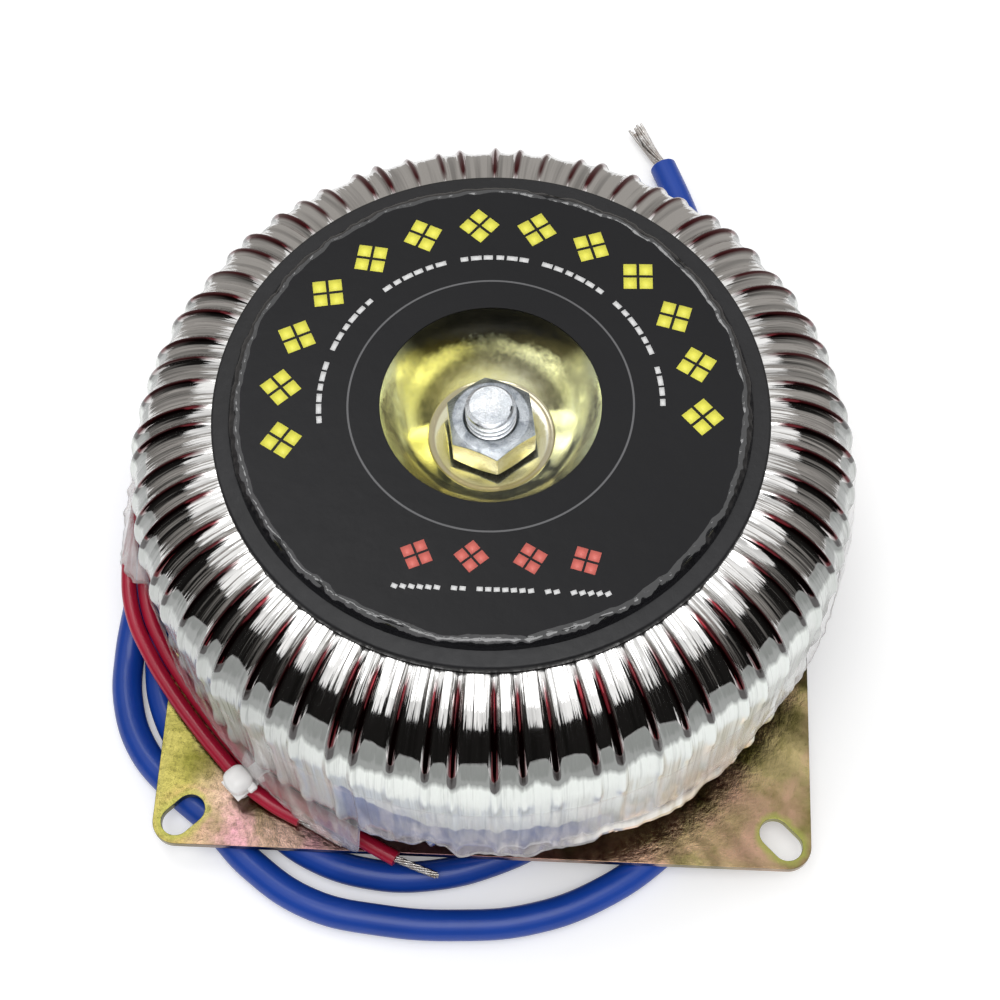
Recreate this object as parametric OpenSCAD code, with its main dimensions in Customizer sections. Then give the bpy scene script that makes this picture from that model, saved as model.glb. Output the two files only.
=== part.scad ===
// Toroidal mains transformer clamped to a square base plate by one centre bolt.
// Origin: on the surface it stands on, under the bolt. +Z up, front of the plate towards -Y.
// All sizes in millimetres.

/* [Base plate and centre bolt] */
// Side of the square base plate
plate_side = 110; // [104:1:124]
// Thickness of the base plate
plate_t = 1.6; // [1.2:0.1:2]
// Corner radius of the base plate
plate_corner_r = 4; // [2:0.5:6]
// Offset of each slot's centre from the bolt, along X and along Y
slot_offset = 50; // [48:0.5:50]
// Width of a mounting slot
slot_w = 5; // [4:0.5:6]
// End-to-end length of a mounting slot
slot_l = 8; // [7:0.5:9]
// Thread diameter of the centre bolt
bolt_d = 8; // [6:1:8]
// Length of the centre bolt under its head
bolt_l = 55; // [54:1:57]
// Width across the flats of the bolt head and nut
hex_af = 13; // [12:0.5:13]
// Height of the bolt head
head_h = 5.3; // [5.3:0.1:6]
// Height of the nut
nut_h = 6.5; // [6:0.1:6.8]

/* [Wound ring] */
// Outside diameter over the film and its ridges
ring_d = 117.6; // [115:0.2:118]
// Diameter of the hole over the film
hole_d = 40; // [39:0.5:41]
// Height over the film
ring_h = 50.3; // [50:0.1:51]
// Radius of the ring's outer top edge
top_edge_r = 17.4; // [16:0.2:18]
// Radius of the ring's outer bottom edge
bottom_edge_r = 14.4; // [13:0.2:15]
// Turns of the outer winding, each a ridge under the film
turns = 70; // [60:1:72]
// Diameter of the outer winding's wire
wire_d = 1.8; // [1.5:0.1:1.8]
// Greatest height of a ridge above the film between the turns
ridge_h = 1; // [0.4:0.1:1]
// Width of a ridge at its foot
ridge_w = 2.9; // [2:0.1:3]
// Outside diameter of the steel core
core_d = 100; // [96:1:100]
// Inside diameter of the steel core
core_bore = 60; // [60:1:64]
// Height of the steel core
core_h = 32; // [28:1:32]

/* [Clamping parts] */
// Diameter of the rubber pad on top of the ring
top_pad_d = 86; // [84:1:88]
// Diameter of the rubber pad under the ring
bottom_pad_d = 92; // [88:1:94]
// Thickness of each rubber pad
pad_t = 2; // [1.5:0.1:2.5]
// Diameter of the dished clamping plate
dish_d = 79; // [76:1:80]
// Sheet thickness of the dished clamping plate
dish_t = 1.2; // [1:0.1:1.4]
// Radius at which the flange turns down into the well
well_r = 17; // [16.8:0.1:17.4]
// Radius of the flat seat at the bottom of the well
seat_r = 9.7; // [9:0.1:10]
// Depth of the well below the flange's top face
well_depth = 10.6; // [10:0.1:11]
// Thickness of the round label on the clamping plate
label_t = 0.25; // [0.2:0.05:0.4]
// Inner radius of the round label
label_hole_r = 17; // [17:0.1:18]

/* [Leads] */
// Outside diameter of a blue lead
blue_d = 5.2; // [4.6:0.1:5.2]
// Diameter of a blue lead's tinned conductor
blue_core_d = 3; // [2:0.1:3.2]
// Outside diameter of a red lead
red_d = 2.6; // [2.2:0.1:2.6]
// Diameter of a red lead's tinned conductor
red_core_d = 1.4; // [1:0.1:1.6]

/* [Hidden] */
$fn = 96;

// Heights of the stack, from the standing surface up
plate_z = head_h;
plate_top = plate_z + plate_t;
ring_z = plate_top + pad_t;
ring_top = ring_z + ring_h;
dish_z = ring_top + pad_t;
dish_top = dish_z + dish_t;
seat_z = dish_top - well_depth;

// Layers of the ring, from the film inwards
ring_r = ring_d / 2;
hole_r = hole_d / 2;
film_r = ring_r - 1.1 * ridge_h;
film_t = 0.4;
film_gap = 0.4;
turn_out_r = film_r - film_t - film_gap;
turn_side = wire_d * 0.95;
wrap_t = 0.6;
core_wrap_t = 0.9;
hole_edge_r = 5;
bolt_clear_r = bolt_d / 2 + 0.25;
turn_depth = film_t + film_gap;
wrap_depth = turn_depth + turn_side;
primary_depth = wrap_depth + wrap_t;
ring_mid_z = (ring_z + ring_top) / 2;

// The section of a ring: a box whose corners are rounded in true arcs. top_r is at least bottom_r
module ring_section(r0, r1, z0, z1, inner_r, top_r, bottom_r) {
    lap = 0.01;
    translate([r0 + inner_r, z0]) square([r1 - top_r - r0 - inner_r, z1 - z0]);
    translate([r0, z0 + inner_r]) square([inner_r + lap, z1 - z0 - 2 * inner_r]);
    translate([r1 - top_r - lap, z0]) square([top_r - bottom_r + lap, z1 - z0 - top_r]);
    translate([r1 - top_r - lap, z0 + bottom_r]) square([top_r + lap, z1 - z0 - bottom_r - top_r]);
    for (z = [z0 + inner_r, z1 - inner_r]) translate([r0 + inner_r, z]) circle(inner_r);
    translate([r1 - top_r, z1 - top_r]) circle(top_r);
    translate([r1 - bottom_r, z0 + bottom_r]) circle(bottom_r);
}

// The ring's section at a depth under the film's outer face
module layer_section(depth) {
    ring_section(hole_r + depth, film_r - depth, ring_z + depth, ring_top - depth,
                 hole_edge_r - depth, top_edge_r - depth, bottom_edge_r - depth);
}

// The core's section, grown on every side
module core_section(grow) {
    edge = 0.6 + grow;
    ring_section(core_bore / 2 - grow, core_d / 2 + grow,
                 ring_mid_z - core_h / 2 - grow, ring_mid_z + core_h / 2 + grow, edge, edge, edge);
}

// Strip-wound silicon steel core
module core() {
    color("dimgray") rotate_extrude() core_section(0);
}

// Tape wound round the core under the mains winding
module core_insulation() {
    color("khaki") rotate_extrude() difference() {
        core_section(core_wrap_t);
        core_section(0);
    }
}

// Mains winding of fine wire, many turns deep
module primary_winding() {
    color("peru") rotate_extrude() difference() {
        layer_section(primary_depth);
        core_section(core_wrap_t);
    }
}

// Film between the two windings
module interwinding_insulation() {
    color("lightyellow") rotate_extrude() difference() {
        layer_section(wrap_depth);
        layer_section(primary_depth);
    }
}

// Angle of a turn. Hand winding leaves the turns a little uneven outside the hole
function turn_angle(k) = (k + 0.14 * sin(137 * k)) * 360 / turns;
// Height of the ridge over a turn
function turn_rise(k) = ridge_h * (0.86 + 0.14 * sin(83 * k + 40));

// Outer winding of thick wire, one layer deep. Its single turns show as the film's ridges
module secondary_winding() {
    color("firebrick") rotate_extrude() difference() {
        layer_section(turn_depth);
        layer_section(wrap_depth);
    }
}

// Paper band under the film, round the side of the ring
label_low = 27;
label_high = 40;
module side_label() {
    color("whitesmoke") translate([0, 0, label_low])
        difference() {
            cylinder(h = label_high - label_low, r = turn_out_r + 0.15);
            translate([0, 0, -1]) cylinder(h = label_high, r = turn_out_r);
        }
}

// Points along a rounded edge of the film's section, as [radius, height]
function edge(r, z, edge_r, angles) = [for (a = angles) [r + edge_r * cos(a), z + edge_r * sin(a)]];
// The same on the ridged outer side, with the outward direction and the share of a ridge's rise
function ridged_edge(r, z, edge_r, angles, shares) =
    [for (i = [0 : len(angles) - 1])
        let (out = [cos(angles[i]), sin(angles[i])]) [[r, z] + edge_r * out, out * shares[i]]];
ridged_rows = concat(
    ridged_edge(film_r - top_edge_r, ring_top - top_edge_r, top_edge_r,
                [90, 81, 70, 56, 38, 19, 0], [0, 0, 0.85, 1, 1, 1, 1]),
    ridged_edge(film_r - bottom_edge_r, ring_z + bottom_edge_r, bottom_edge_r,
                [0, -30, -62, -90], [1, 0.95, 0.6, 0]));
// The smooth rest: through the hole and back inside the film, open at a narrow seam in the hole
seam = 0.3;
inner_edge_r = hole_edge_r - film_t;
smooth_rows = concat(
    edge(hole_r + hole_edge_r, ring_z + hole_edge_r, hole_edge_r, [270, 225, 180]),
    [[hole_r, ring_mid_z - seam / 2], [hole_r + film_t, ring_mid_z - seam / 2]],
    edge(hole_r + hole_edge_r, ring_z + hole_edge_r, inner_edge_r, [180, 225, 270]),
    edge(film_r - bottom_edge_r, ring_z + bottom_edge_r, bottom_edge_r - film_t, [-90, -68, -45, -22, 0]),
    edge(film_r - top_edge_r, ring_top - top_edge_r, top_edge_r - film_t, [0, 18, 36, 54, 72, 90]),
    edge(hole_r + hole_edge_r, ring_top - hole_edge_r, inner_edge_r, [90, 135, 180]),
    [[hole_r + film_t, ring_mid_z + seam / 2], [hole_r, ring_mid_z + seam / 2]],
    edge(hole_r + hole_edge_r, ring_top - hole_edge_r, hole_edge_r, [180, 135, 90]));

// Three columns a turn: foot, crown, foot. Each smooth column stands under five of them
ridge_half_angle = ridge_w / 2 / film_r * 180 / PI;
ridged_columns = [for (k = [0 : turns - 1], side = [-1 : 1])
    [turn_angle(k) + side * ridge_half_angle, side == 0 ? turn_rise(k) : 0]];
step = 5;
smooth_columns = [for (c = [0 : step : len(ridged_columns) - 1]) ridged_columns[c][0]];

function on_ring(angle, p) = [p[0] * cos(angle), p[0] * sin(angle), p[1]];
// Two triangles for each cell of a strip of columns. rows is the count of points in a column
function ring_faces(columns, rows, closed = true, first = 0) =
    [for (c = [0 : columns - 1], i = [0 : rows - (closed ? 1 : 2)])
        let (a = first + c * rows, b = first + ((c + 1) % columns) * rows, j = (i + 1) % rows)
        each [[a + i, b + j, a + j], [a + i, b + i, b + j]]];
// Joins a row of the fine columns to a row of the coarse ones, step fine cells to each coarse cell
function fan_faces(fine_row, coarse_row, fine_rows, coarse_rows, flip) =
    let (n = len(ridged_columns), m = len(smooth_columns), base = n * fine_rows)
    [for (c = [0 : m - 1])
        let (low = base + c * coarse_rows + coarse_row, high = base + ((c + 1) % m) * coarse_rows + coarse_row)
        each [for (t = concat(
                [for (k = [0 : step - 1]) let (f = (c * step + k) % n)
                    [f * fine_rows + fine_row, k < step / 2 ? low : high, ((f + 1) % n) * fine_rows + fine_row]],
                [[low, high, ((c * step + ceil(step / 2)) % n) * fine_rows + fine_row]]))
            flip ? [t[0], t[2], t[1]] : t]];

// Clear film wound over the turns, with a ridge over each of them
module film_wrap() {
    fine = len(ridged_rows);
    coarse = len(smooth_rows);
    color("silver") polyhedron(
        points = concat(
            [for (c = ridged_columns, p = ridged_rows) on_ring(c[0], p[0] + p[1] * c[1])],
            [for (a = smooth_columns, p = smooth_rows) on_ring(a, p)]),
        faces = concat(
            ring_faces(len(ridged_columns), fine, false),
            ring_faces(len(smooth_columns), coarse, false, len(ridged_columns) * fine),
            fan_faces(fine - 1, 0, fine, coarse, true),
            fan_faces(0, coarse - 1, fine, coarse, false)));
}

// Loose hem of the outermost film: its height and its flare round the ring
skirt_columns = 90;
skirt_t = 0.3;
skirt_r = ring_r - ridge_h * 0.1 + 0.06;
skirt_top = 41;
function swell(a, centre, width) = exp(-pow(((a - centre + 540) % 360 - 180) / width, 2));
function hem_z(a) = 19.2 + 0.5 * sin(9 * a) + 0.4 * sin(23 * a + 50)
    + 6 * swell(a, 163, 14) - 5.2 * swell(a, 246, 12) - 3.5 * swell(a, 310, 16);
function hem_flare(a) = 0.25 + 0.25 * sin(11 * a + 30)
    + 1.5 * swell(a, 243, 12) - 1.2 * swell(a, 312, 14);
function skirt_column(a) =
    let (hem = hem_z(a), flare = hem_flare(a),
         outer = [[skirt_r, skirt_top], [skirt_r, 30], [skirt_r + 0.3 * flare, 25], [skirt_r + flare, hem]])
    concat([for (p = outer) [p[0] + skirt_t, p[1]]], [for (i = [3 : -1 : 0]) outer[i]]);
module film_skirt() {
    angles = [for (c = [0 : skirt_columns - 1]) c * 360 / skirt_columns];
    color("gainsboro", 0.6) polyhedron(
        points = [for (a = angles, p = skirt_column(a)) [p[0] * cos(a), p[0] * sin(a), p[1]]],
        faces = ring_faces(skirt_columns, 8));
}

// A flat ring
module ring_plate(outer_r, inner_r, z, t) {
    translate([0, 0, z]) difference() {
        cylinder(h = t, r = outer_r);
        translate([0, 0, -1]) cylinder(h = t + 2, r = inner_r);
    }
}

module top_pad() { color("black") ring_plate(top_pad_d / 2, hole_r - 0.3, ring_top, pad_t); }
module bottom_pad() { color("black") ring_plate(bottom_pad_d / 2, 10, plate_top, pad_t); }
module top_label() {
    color([0.1, 0.1, 0.11]) ring_plate(dish_d / 2 - 0.3, label_hole_r, dish_top, label_t);
}

// The well's wall is a smooth S from the flange (share 0) to the seat (share 1)
function well_point(s) = [well_r + (seat_r - well_r) * s, dish_top - well_depth * (1 - cos(180 * s)) / 2];
function well_slope(s) = [seat_r - well_r, -well_depth * PI / 2 * sin(180 * s)];
// A point on the well's underside, one sheet thickness away
function well_under(s) =
    let (d = well_slope(s), n = norm(d)) well_point(s) + dish_t * [-d[1], d[0]] / n;
well_steps = 12;

// Spun steel clamping plate: a flat flange with a deep well for the nut
module clamp_dish() {
    shares = [for (i = [0 : well_steps]) i / well_steps];
    color("goldenrod") rotate_extrude() polygon(concat(
        [[dish_d / 2, dish_z], [dish_d / 2, dish_top]],
        [for (s = shares) well_point(s)],
        [[bolt_clear_r, seat_z], [bolt_clear_r, seat_z - dish_t]],
        [for (i = [well_steps : -1 : 0]) well_under(shares[i])]));
}

// Square with rounded corners, in true arcs
module rounded_square(side, r) {
    square([side, side - 2 * r], center = true);
    square([side - 2 * r, side], center = true);
    for (x = [-1, 1], y = [-1, 1]) translate([x, y] * (side / 2 - r)) circle(r);
}

module slot(l, w) {
    square([l - w, w], center = true);
    for (x = [-1, 1]) translate([x * (l - w) / 2, 0]) circle(d = w);
}

// Pressed steel base plate with four slots that point at the bolt
module base_plate() {
    color("darkkhaki") translate([0, 0, plate_z]) linear_extrude(plate_t) difference() {
        rounded_square(plate_side, plate_corner_r);
        circle(bolt_clear_r);
        for (a = [45, 135, 225, 315]) rotate(a) translate([slot_offset * sqrt(2), 0]) slot(slot_l, slot_w);
    }
}

// A hexagon whose corners are turned off at the ends that are named
module hexagon(h, chamfer_low, chamfer_high) {
    corner_d = hex_af / cos(30);
    slack = (corner_d - hex_af) / 2 * tan(30);
    intersection() {
        cylinder(h = h, d = corner_d, $fn = 6);
        union() {
            if (chamfer_low) cylinder(h = slack, d1 = hex_af * 0.96, d2 = corner_d);
            translate([0, 0, chamfer_low ? slack : 0])
                cylinder(h = h - (chamfer_low ? slack : 0) - (chamfer_high ? slack : 0), d = corner_d + 0.2);
            if (chamfer_high) translate([0, 0, h - slack]) cylinder(h = slack, d1 = corner_d, d2 = hex_af * 0.96);
        }
    }
}

// Hexagon bolt, head down
module centre_bolt() {
    chamfer = 1.1;
    color("silver") {
        hexagon(head_h, true, false);
        translate([0, 0, head_h - 0.5]) cylinder(h = bolt_l - chamfer + 0.5, d = bolt_d - 0.1);
        translate([0, 0, head_h + bolt_l - chamfer]) cylinder(h = chamfer, d1 = bolt_d - 0.1, d2 = 5.6);
    }
}

module top_nut() {
    color("silver") translate([0, 0, seat_z]) difference() {
        hexagon(nut_h, true, true);
        translate([0, 0, -1]) cylinder(h = nut_h + 2, d = bolt_d);
    }
}

// Routes of the leads' centre lines, from the film to the end of the insulation
red_outer_route = [[-58.5, 14.6, 22.9], [-61.4, 6, 19.7], [-62.5, -1.2, 16.7], [-63.3, -8.3, 13.7],
    [-62, -15.9, 11.6], [-58.3, -23, 10.2], [-53.9, -29.2, 9.4], [-49, -35.1, 9], [-44.3, -40.3, 9.1],
    [-39.6, -44.9, 9.2], [-35, -48, 8.5], [-30.1, -50.4, 8.2]];
red_inner_route = [[-58.2, 14, 20.1], [-59.8, 6.4, 17.6], [-60.2, -1, 15.2], [-60.7, -8, 13],
    [-59.4, -15, 11.3], [-56.1, -21.4, 10.2], [-51.7, -27.6, 9.4], [-46.9, -33.3, 9], [-42.3, -38.4, 9.1],
    [-37.7, -43, 9.2], [-33, -46, 8.6], [-28.4, -48.6, 8.2], [-23.4, -51.3, 8.2], [-18.4, -54, 8.2],
    [-13.7, -56.4, 8.2]];
blue_outer_route = [[-56.6, 21.5, 18], [-58.4, 13, 15.2], [-60, 5, 12.3], [-61.2, -4, 9.6],
    [-62.4, -12, 6.3], [-63.5, -20.5, 3], [-62.8, -28.5, 2.6], [-59.3, -37, 2.6], [-53, -43.8, 2.6],
    [-45.5, -49.8, 2.6], [-38, -57, 2.6], [-28, -63, 2.6], [-16, -65.3, 2.6], [-3, -65.6, 2.6],
    [9, -64, 2.6], [20, -59.5, 2.6], [30, -52, 2.6], [38.5, -42, 2.6], [44.5, -30, 2.6],
    [47.5, -16, 2.6], [48.5, -2, 2.6], [47.5, 12, 2.6], [45.5, 26, 2.6], [43, 40, 2.6],
    [40, 53, 2.6], [37, 66, 2.6], [33.5, 78, 2.6], [29.4, 88.6, 2.6]];
blue_inner_route = [[-54, 20, 13], [-56.5, 12, 10.3], [-58.2, 4, 7], [-58.6, -5, 3.8], [-58.4, -14, 2.6],
    [-58, -22, 2.6], [-56, -30, 2.6], [-51.4, -37.2, 2.6], [-44.4, -42.8, 2.6], [-36.5, -49.2, 2.6],
    [-28, -54.8, 2.6], [-18, -57.6, 2.6], [-8, -57.4, 2.6], [2, -54.5, 2.6], [11, -49.5, 2.6],
    [19, -42, 2.6], [25, -33, 2.6], [28.5, -22.5, 2.6], [29.5, -12, 2.6]];
red_outer_tip = [[-30.1, -50.4, 8.2], [-26.2, -52.4, 8], [-22.3, -54.4, 7.8]];
red_inner_tip = [[-13.7, -56.4, 8.2], [-10.1, -57.7, 8], [-6.5, -58.9, 7.8]];
blue_rear_tip = [[29.4, 88.6, 2.6], [27.8, 91, 2.4], [25.8, 94.6, 2.2], [23.7, 98.1, 2.8]];
blue_inner_tip = [[29.5, -12, 2.6], [29.5, -7.5, 2.5], [29.2, -3, 2.4]];

// A tube swept along a route, ring by ring, with a circle of sides corners
function unit(v) = v / norm(v);
function heading(route, i) =
    unit(route[min(i + 1, len(route) - 1)] - route[max(i - 1, 0)]);
function tube_ring(route, i, r, sides) =
    let (t = heading(route, i), side = unit(cross(t, [0, 0, 1])), up = cross(side, t))
    [for (k = [0 : sides - 1]) route[i] + r * (cos(360 * (k + 0.5) / sides) * side + sin(360 * (k + 0.5) / sides) * up)];
module tube(route, d, sides) {
    rings = len(route);
    polyhedron(
        points = [for (i = [0 : rings - 1]) each tube_ring(route, i, d / 2, sides)],
        faces = concat(
            [[for (k = [sides - 1 : -1 : 0]) k]],
            [for (i = [0 : rings - 2], k = [0 : sides - 1])
                let (a = i * sides + k, b = i * sides + (k + 1) % sides)
                each [[a, b + sides, a + sides], [a, b, b + sides]]],
            [[for (k = [0 : sides - 1]) (rings - 1) * sides + k]]));
}

module red_lead_outer() { color("darkred") tube(red_outer_route, red_d, 8); }
module red_lead_inner() { color("darkred") tube(red_inner_route, red_d, 8); }
module red_tip_outer() { color("lightgray") tube(red_outer_tip, red_core_d, 8); }
module red_tip_inner() { color("lightgray") tube(red_inner_tip, red_core_d, 8); }
module blue_lead_outer() { color("royalblue") tube(blue_outer_route, blue_d, 10); }
module blue_lead_inner() { color("royalblue") tube(blue_inner_route, blue_d, 10); }
module blue_tip_rear() { color("lightgray") tube(blue_rear_tip, blue_core_d, 8); }
module blue_tip_inner() { color("lightgray") tube(blue_inner_tip, blue_core_d, 8); }

// Cable tie round the two red leads, with its head on the outer side and its tail cut short
tie_at = [-38.65, -43.95, 9.2];
tie_turn = -45;
tie_w = 2.4;
tie_t = 0.9;
tie_head_at = -2.3;
module cable_tie() {
    pair_w = 2 * red_d + 0.3;
    pair_h = red_d + 0.1;
    color("white") translate(tie_at) rotate([0, 0, tie_turn]) rotate([90, 0, 90]) {
        linear_extrude(tie_w, center = true) difference() {
            slot(pair_w + 2 * tie_t, pair_h + 2 * tie_t);
            slot(pair_w, pair_h);
        }
        translate([tie_head_at, pair_h / 2 + tie_t + 1.05, 0]) difference() {
            cube([4.4, 2.8, 4.4], center = true);
            cube([1, 3.2, tie_w + 0.2], center = true);
        }
        translate([tie_head_at, pair_h / 2 + tie_t + 1.2, 0]) cube([0.9, 3.6, tie_w], center = true);
    }
}

core();
core_insulation();
primary_winding();
interwinding_insulation();
secondary_winding();
side_label();
film_wrap();
film_skirt();
top_pad();
clamp_dish();
top_label();
bottom_pad();
base_plate();
centre_bolt();
top_nut();
red_lead_outer();
red_lead_inner();
red_tip_outer();
red_tip_inner();
blue_lead_outer();
blue_lead_inner();
blue_tip_rear();
blue_tip_inner();
cable_tie();
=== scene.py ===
"""Builds the looks of a toroidal mains transformer, one operator for each group of pieces."""

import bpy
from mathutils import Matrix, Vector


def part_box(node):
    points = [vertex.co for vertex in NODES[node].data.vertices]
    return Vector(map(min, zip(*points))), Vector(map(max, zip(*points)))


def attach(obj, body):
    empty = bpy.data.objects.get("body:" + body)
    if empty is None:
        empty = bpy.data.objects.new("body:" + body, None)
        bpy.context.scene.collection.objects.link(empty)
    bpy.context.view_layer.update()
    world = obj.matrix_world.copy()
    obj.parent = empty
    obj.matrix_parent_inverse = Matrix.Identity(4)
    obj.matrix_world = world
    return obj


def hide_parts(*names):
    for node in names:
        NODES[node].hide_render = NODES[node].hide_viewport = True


bl_info = {
    "name": "Toroidal Transformer",
    "version": (1, 0, 0),
    "blender": (4, 5, 0),
    "location": "3D View > Sidebar > Transformer",
    "description": "Film-wrapped toroidal transformer on a slotted base plate, with its leads",
    "category": "Object",
}

import math
from functools import cache

import bmesh
import bpy
from mathutils import Matrix, Vector, noise

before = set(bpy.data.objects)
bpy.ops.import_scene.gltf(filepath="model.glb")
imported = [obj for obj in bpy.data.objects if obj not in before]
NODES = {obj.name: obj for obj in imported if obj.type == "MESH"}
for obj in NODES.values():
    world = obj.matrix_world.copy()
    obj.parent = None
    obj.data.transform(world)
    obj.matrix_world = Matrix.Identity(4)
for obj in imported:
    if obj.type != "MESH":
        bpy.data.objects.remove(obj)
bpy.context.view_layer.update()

MM = 0.001
BODY = "root"

# Heights and radii of the assembly, read from the solids
PAD_LOW, PAD_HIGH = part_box("top_pad")
DISH_LOW, DISH_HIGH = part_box("clamp_dish")
LABEL_LOW, LABEL_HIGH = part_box("top_label")
NUT_LOW, NUT_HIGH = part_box("top_nut")
_, BOLT_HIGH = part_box("centre_bolt")
FLOOR_PAD_LOW, FLOOR_PAD_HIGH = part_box("bottom_pad")

# Routes of the leads' centre lines, from the film to the end of the insulation, then their bare tips
BLUE_OUTER_ROUTE = [
    (-0.0566, 0.0215, 0.018), (-0.0584, 0.013, 0.0152), (-0.06, 0.005, 0.0123),
    (-0.0612, -0.004, 0.0096), (-0.0624, -0.012, 0.0063), (-0.0635, -0.0205, 0.003),
    (-0.0628, -0.0285, 0.0026), (-0.0593, -0.037, 0.0026), (-0.053, -0.0438, 0.0026),
    (-0.0455, -0.0498, 0.0026), (-0.038, -0.057, 0.0026), (-0.028, -0.063, 0.0026),
    (-0.016, -0.0653, 0.0026), (-0.003, -0.0656, 0.0026), (0.009, -0.064, 0.0026),
    (0.02, -0.0595, 0.0026), (0.03, -0.052, 0.0026), (0.0385, -0.042, 0.0026),
    (0.0445, -0.03, 0.0026), (0.0475, -0.016, 0.0026), (0.0485, -0.002, 0.0026),
    (0.0475, 0.012, 0.0026), (0.0455, 0.026, 0.0026), (0.043, 0.04, 0.0026),
    (0.04, 0.053, 0.0026), (0.037, 0.066, 0.0026), (0.0335, 0.078, 0.0026),
    (0.0294, 0.0886, 0.0026)]
BLUE_INNER_ROUTE = [
    (-0.054, 0.02, 0.013), (-0.0565, 0.012, 0.0103), (-0.0582, 0.004, 0.007),
    (-0.0586, -0.005, 0.0038), (-0.0584, -0.014, 0.0026), (-0.058, -0.022, 0.0026),
    (-0.056, -0.03, 0.0026), (-0.0514, -0.0372, 0.0026), (-0.0444, -0.0428, 0.0026),
    (-0.0365, -0.0492, 0.0026), (-0.028, -0.0548, 0.0026), (-0.018, -0.0576, 0.0026),
    (-0.008, -0.0574, 0.0026), (0.002, -0.0545, 0.0026), (0.011, -0.0495, 0.0026),
    (0.019, -0.042, 0.0026), (0.025, -0.033, 0.0026), (0.0285, -0.0225, 0.0026),
    (0.0295, -0.012, 0.0026)]
RED_OUTER_ROUTE = [
    (-0.0585, 0.0146, 0.0229), (-0.0614, 0.006, 0.0197), (-0.0625, -0.0012, 0.0167),
    (-0.0633, -0.0083, 0.0137), (-0.062, -0.0159, 0.0116), (-0.0583, -0.023, 0.0102),
    (-0.0539, -0.0292, 0.0094), (-0.049, -0.0351, 0.009), (-0.0443, -0.0403, 0.0091),
    (-0.0396, -0.0449, 0.0092), (-0.035, -0.048, 0.0085), (-0.0301, -0.0504, 0.0082)]
RED_INNER_ROUTE = [
    (-0.0582, 0.014, 0.0201), (-0.0598, 0.0064, 0.0176), (-0.0602, -0.001, 0.0152),
    (-0.0607, -0.008, 0.013), (-0.0594, -0.015, 0.0113), (-0.0561, -0.0214, 0.0102),
    (-0.0517, -0.0276, 0.0094), (-0.0469, -0.0333, 0.009), (-0.0423, -0.0384, 0.0091),
    (-0.0377, -0.043, 0.0092), (-0.033, -0.046, 0.0086), (-0.0284, -0.0486, 0.0082),
    (-0.0234, -0.0513, 0.0082), (-0.0184, -0.054, 0.0082), (-0.0137, -0.0564, 0.0082)]
BLUE_REAR_TIP = [
    (0.0294, 0.0886, 0.0026), (0.0278, 0.091, 0.0024), (0.0258, 0.0946, 0.0022),
    (0.0237, 0.0981, 0.0028)]
BLUE_INNER_TIP = [
    (0.0295, -0.012, 0.0026), (0.0295, -0.0075, 0.0025), (0.0292, -0.003, 0.0024)]
RED_OUTER_TIP = [
    (-0.0301, -0.0504, 0.0082), (-0.0262, -0.0524, 0.008), (-0.0223, -0.0544, 0.0078)]
RED_INNER_TIP = [
    (-0.0137, -0.0564, 0.0082), (-0.0101, -0.0577, 0.008), (-0.0065, -0.0589, 0.0078)]


# ---------------------------------------------------------------- settings

def colour(name, description, default):
    return bpy.props.FloatVectorProperty(
        name=name, description=description, subtype="COLOR", size=3, min=0, max=1, default=default)


def length(name, description, default):
    return bpy.props.FloatProperty(
        name=name, description=description, default=default, subtype="DISTANCE", unit="LENGTH")


class TOROID_PG_leads(bpy.types.PropertyGroup):
    blue_diameter: length("Blue diameter", "Outside diameter of a blue lead", 5.2 * MM)
    red_diameter: length("Red diameter", "Outside diameter of a red lead", 2.6 * MM)
    blue_colour: colour("Blue", "Colour of the blue leads' insulation", (0.007, 0.055, 0.36))
    red_colour: colour("Red", "Colour of the red leads' insulation", (0.40, 0.008, 0.035))
    strand_colour: colour("Strands", "Colour of the tinned strands", (0.62, 0.60, 0.58))


class TOROID_PG_ring(bpy.types.PropertyGroup):
    turns: bpy.props.IntProperty(
        name="Turns", description="Ridges round the film, one over each turn", default=70, min=20, max=90)
    columns: bpy.props.IntProperty(
        name="Columns", description="Steps of the film's mesh round the ring", default=1260, min=420, max=1600)
    film_radius: length("Film radius", "Outside radius of the film between the ridges", 57.7 * MM)
    hole_radius: length("Hole radius", "Radius of the hole over the film", 20 * MM)
    film_low: length("Film's underside", "Height of the film's underside", 8.9 * MM)
    film_high: length("Film's top", "Height of the film's top", 59.2 * MM)
    top_edge: length("Top edge radius", "Radius of the ring's outer top edge", 17.4 * MM)
    bottom_edge: length("Bottom edge radius", "Radius of the ring's outer bottom edge", 14.4 * MM)
    hole_edge: length("Hole edge radius", "Radius of the edges of the hole", 5 * MM)
    ridge_height: length("Ridge height", "Greatest height of a ridge above the film", 1 * MM)
    wrinkle_height: length("Wrinkle height", "Height of the fine wrinkles in the film", 0.16 * MM)
    film_colour: colour("Film", "Colour of the film over its valleys", (0.86, 0.85, 0.835))
    wire_colour: colour("Wire", "Colour of the enamelled wire through the film", (0.11, 0.008, 0.012))
    paper_colour: colour("Paper", "Colour of the paper band through the film", (0.92, 0.96, 0.92))
    hem_colour: colour("Loose film", "Colour of the loose hem of the film", (0.86, 0.81, 0.80))


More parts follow.
